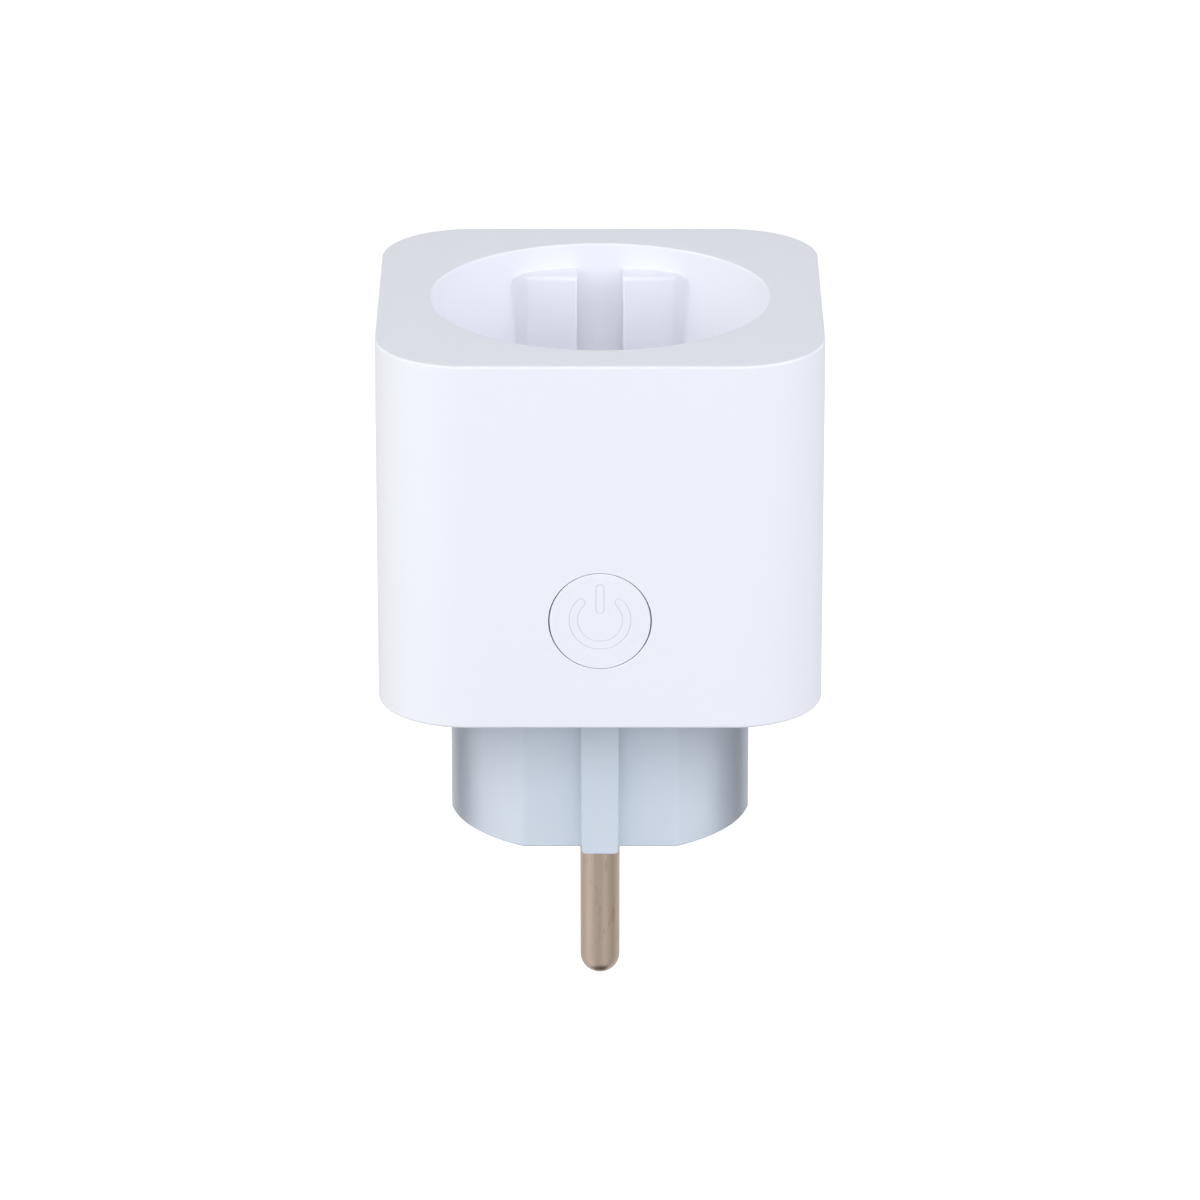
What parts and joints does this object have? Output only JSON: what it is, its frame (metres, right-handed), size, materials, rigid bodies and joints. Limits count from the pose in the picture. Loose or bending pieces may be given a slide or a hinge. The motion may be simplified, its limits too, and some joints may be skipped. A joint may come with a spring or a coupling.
{
  "type": "plug-in power meter",
  "caption": "Square plug-in power meter with a round earthed socket recess on top, an earthed plug with round pins below and a push button in front.",
  "frame": {"origin": "centre of the plug's engaging face, midway between the two pins", "axes": "+Z away from the wall, along the plug and out of the socket recess; the button faces -Y; the two pins stand side by side along Y"},
  "size_m": [0.053, 0.053, 0.0838],
  "materials": {
    "casing_white": "satin",
    "plug_grey": "satin",
    "button_white": "satin",
    "light_guide_clear": "gloss",
    "pin_nickel": "satin",
    "earth_tin": "satin",
    "rivet_brass": "satin",
    "contact_brass": "satin",
    "screw_steel": "satin",
    "spring_steel": "satin",
    "shield_steel": "satin",
    "board_green": "satin",
    "black_plastic": "matte",
    "chip_black": "matte",
    "capacitor_sleeve": "satin",
    "cream_plastic": "satin",
    "shutter_grey": "satin",
    "relay_blue": "satin",
    "film_yellow": "satin",
    "varistor_blue": "satin",
    "resistor_grey": "matte",
    "ferrite_dark": "matte",
    "led_clear": "gloss"
  },
  "bodies": {
    "housing": {"case_screw_1": "screw_steel", "case_screw_2": "screw_steel", "case_screw_3": "screw_steel", "case_screw_4": "screw_steel", "casing": "casing_white", "plug_base": "plug_grey", "pin_line": "pin_nickel", "pin_neutral": "pin_nickel", "earth_strip_left": "earth_tin", "earth_strip_right": "earth_tin", "earth_bridge": "earth_tin", "earth_rivet_left": "rivet_brass", "earth_rivet_right": "rivet_brass", "tact_switch": "black_plastic", "control_board": "board_green", "main_board": "board_green", "wifi_shield": "shield_steel", "board_header": "black_plastic", "status_led": "led_clear", "relay": "relay_blue", "bulk_capacitor_1": "capacitor_sleeve", "bulk_capacitor_2": "capacitor_sleeve", "x_capacitor": "film_yellow", "varistor": "varistor_blue", "fuse_resistor": "resistor_grey", "power_inductor": "ferrite_dark", "bridge_rectifier": "chip_black", "regulator_chip": "chip_black", "metering_chip": "chip_black", "current_shunt": "shield_steel", "contact_carrier": "cream_plastic", "socket_contact_line": "contact_brass", "socket_contact_neutral": "contact_brass", "shutter_spring": "spring_steel"},
    "button": {"power_button": "button_white", "button_light_guide": "light_guide_clear"},
    "plunger": {"switch_plunger": "cream_plastic"},
    "shutter_rotor": {"shutter": "shutter_grey"}
  },
  "joints": [
    {"name": "button_press", "type": "slide", "parent": "housing", "child": "button", "axis": [0, 1, 0], "range_m": [0, 0.0004], "stiffness_N_per_m": 2000, "springref_m": -0.0004},
    {"name": "plunger_press", "type": "slide", "parent": "housing", "child": "plunger", "axis": [0, 1, 0], "range_m": [0, 0.0004]},
    {"name": "shutter_turn", "type": "hinge", "parent": "housing", "child": "shutter_rotor", "pos_m": [0, 0, 0.0436], "axis": [0, 0, 1], "range_deg": [0, 40], "stiffness_Nm_per_rad": 0.0005, "springref_deg": -22.92, "deforming": ["shutter_spring"]}
  ],
  "couplings": [
    {"joint": "plunger_press", "follows": "button_press", "ratio": 1}
  ]
}
